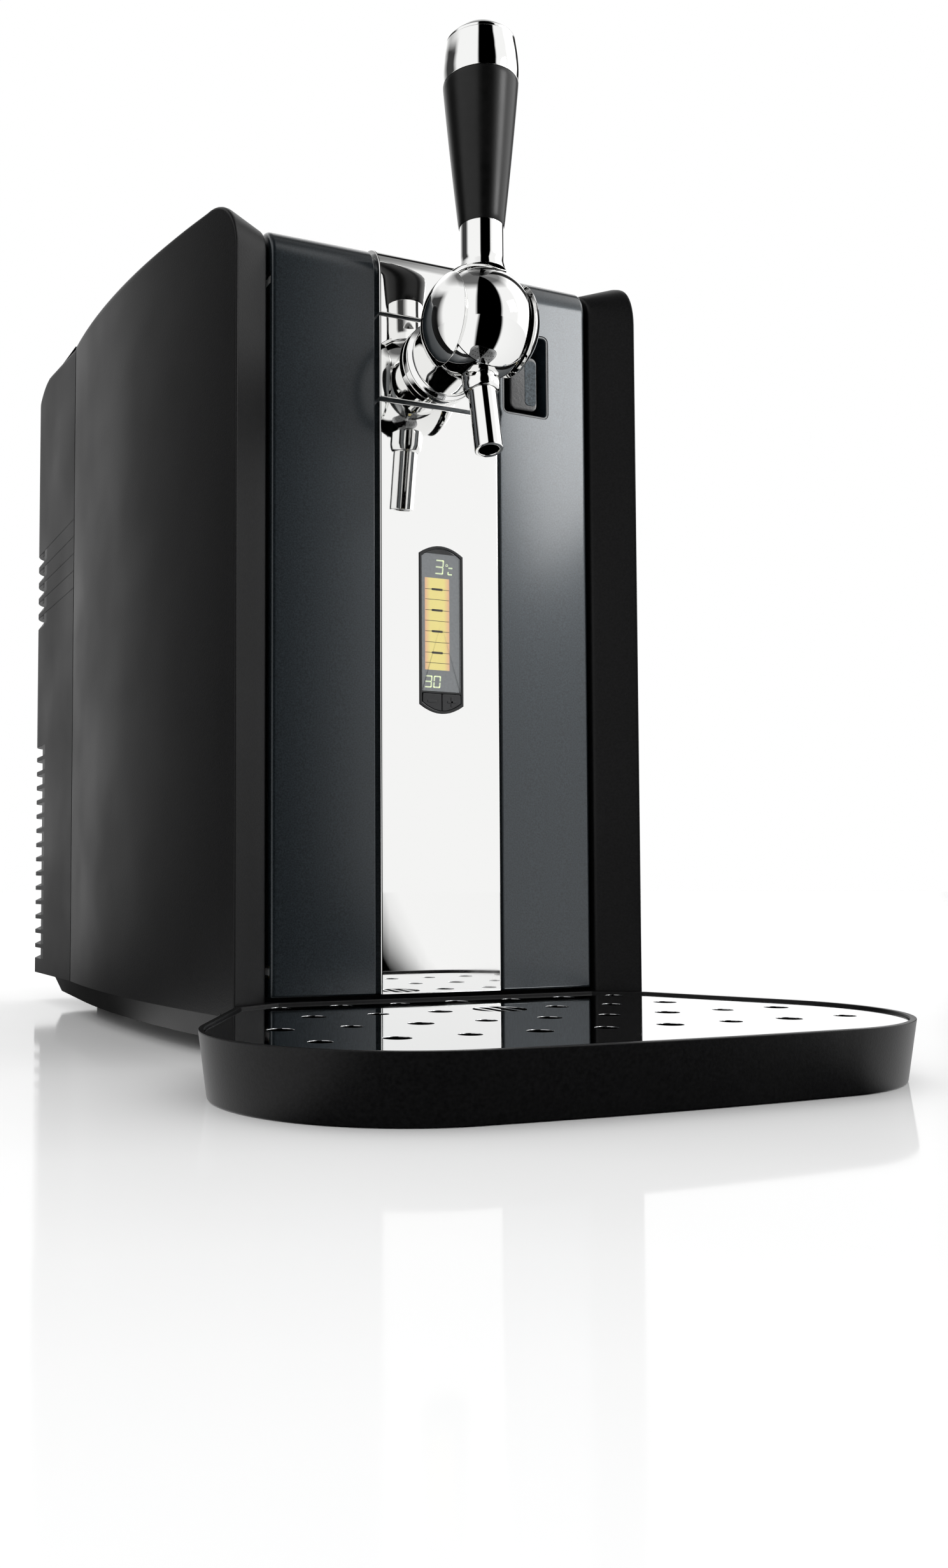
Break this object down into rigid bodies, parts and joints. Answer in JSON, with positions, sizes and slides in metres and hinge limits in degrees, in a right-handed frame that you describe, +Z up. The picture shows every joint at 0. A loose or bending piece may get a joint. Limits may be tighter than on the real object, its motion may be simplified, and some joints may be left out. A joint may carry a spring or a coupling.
{
  "type": "mini keg beer dispenser",
  "caption": "Cooled cabinet for one small pressurised keg, with a lever tap on a swinging door, a display strip and a pull-out drip tray.",
  "frame": {"origin": "middle of the whole dispenser's plan box, on the worktop", "axes": "+X to the right seen from the front, +Y to the back, +Z up"},
  "size_m": [0.2796, 0.537, 0.444],
  "materials": {
    "side_black": "fine-grain textured black",
    "base_black": "satin black",
    "door_blue": "satin dark blue-grey metallic",
    "mirror_chrome": "mirror chrome",
    "satin_black": "satin black",
    "tray_black": "fine-grain textured black",
    "smoked_glass": "smoked",
    "screen_grey": "display module",
    "button_black": "satin",
    "inner_white": "smooth white",
    "foam": "rigid foam",
    "rubber_black": "matte",
    "bare_aluminium": "extruded",
    "steel": "plain",
    "white_ceramic": "plain",
    "board_green": "solder mask",
    "hose_clear": "silicone"
  },
  "bodies": {
    "cabinet": {"left_side_panel": "side_black", "right_side_panel": "side_black", "rear_cover": "side_black", "lid": "door_blue", "lid_strip": "mirror_chrome", "base": "base_black", "foot_front_left": "rubber_black", "foot_front_right": "rubber_black", "foot_rear_left": "rubber_black", "foot_rear_right": "rubber_black", "chamber_frame": "satin_black", "chamber_liner": "inner_white", "chamber_foam": "foam", "keg_seat": "inner_white", "keg_coupler": "inner_white", "temperature_probe": "steel", "cold_plate": "bare_aluminium", "cooling_module": "white_ceramic", "heat_sink": "bare_aluminium", "fan_frame": "satin_black", "power_supply": "satin_black", "air_pump": "satin_black", "air_hose": "hose_clear", "board_carrier": "satin_black", "control_board": "board_green", "mains_inlet": "satin_black", "screw_low_left": "steel", "screw_low_right": "steel"},
    "door": {"door_panel": "door_blue", "door_foam": "foam", "door_liner": "inner_white", "door_seal": "rubber_black", "latch_hook": "steel", "strip_lower": "mirror_chrome", "tap_plate": "mirror_chrome", "strip_upper": "mirror_chrome", "display_case": "button_black", "display_glass": "smoked_glass", "display_screen": "screen_grey", "release_cup": "side_black", "tap_body": "mirror_chrome", "dome_pin": "steel", "tap_pin_left": "steel", "tap_pin_right": "steel", "spout_collar": "mirror_chrome", "spout_tube": "mirror_chrome", "hinge_pin_lower": "steel", "hinge_pin_upper": "steel"},
    "tap_handle": {"handle_yoke": "mirror_chrome", "handle_neck": "mirror_chrome", "handle_grip": "satin_black", "handle_band": "mirror_chrome", "handle_cap": "mirror_chrome"},
    "tap_dome": {"tap_dome": "mirror_chrome"},
    "minus_button": {"minus_button": "button_black"},
    "plus_button": {"plus_button": "button_black"},
    "release_lever": {"release_lever": "satin_black"},
    "drip_tray": {"drip_tray": "tray_black"},
    "drip_plate": {"drip_plate": "mirror_chrome"},
    "fan_rotor": {"fan_rotor": "satin_black"}
  },
  "joints": [
    {"name": "door_hinge", "type": "hinge", "parent": "cabinet", "child": "door", "pos_m": [-0.0782, -0.0826, 0.18], "axis": [0, 0, 1], "range_deg": [-95, 0]},
    {"name": "tap_pull", "type": "hinge", "parent": "door", "child": "tap_handle", "pos_m": [0, -0.128, 0.3145], "axis": [1, 0, 0], "range_deg": [0, 40]},
    {"name": "dome_flip", "type": "hinge", "parent": "door", "child": "tap_dome", "pos_m": [0, -0.1375, 0.295], "axis": [-1, 0, 0], "range_deg": [-55, 0]},
    {"name": "minus_press", "type": "slide", "parent": "door", "child": "minus_button", "axis": [0, 1, 0], "range_m": [0, 0.001], "stiffness_N_per_m": 300, "springref_m": -0.0005},
    {"name": "plus_press", "type": "slide", "parent": "door", "child": "plus_button", "axis": [0, 1, 0], "range_m": [0, 0.001], "stiffness_N_per_m": 300, "springref_m": -0.0005},
    {"name": "release_push", "type": "slide", "parent": "door", "child": "release_lever", "axis": [0, 1, 0], "range_m": [0, 0.003], "stiffness_N_per_m": 250, "springref_m": -0.001},
    {"name": "tray_pull", "type": "slide", "parent": "cabinet", "child": "drip_tray", "axis": [0, -1, 0], "range_m": [0, 0.15]},
    {"name": "plate_lift", "type": "slide", "parent": "drip_tray", "child": "drip_plate", "axis": [0, 0, 1], "range_m": [0, 0.06]},
    {"name": "fan_spin", "type": "hinge", "parent": "cabinet", "child": "fan_rotor", "pos_m": [0, 0.1545, 0.18], "axis": [0, 1, 0], "continuous": true}
  ]
}
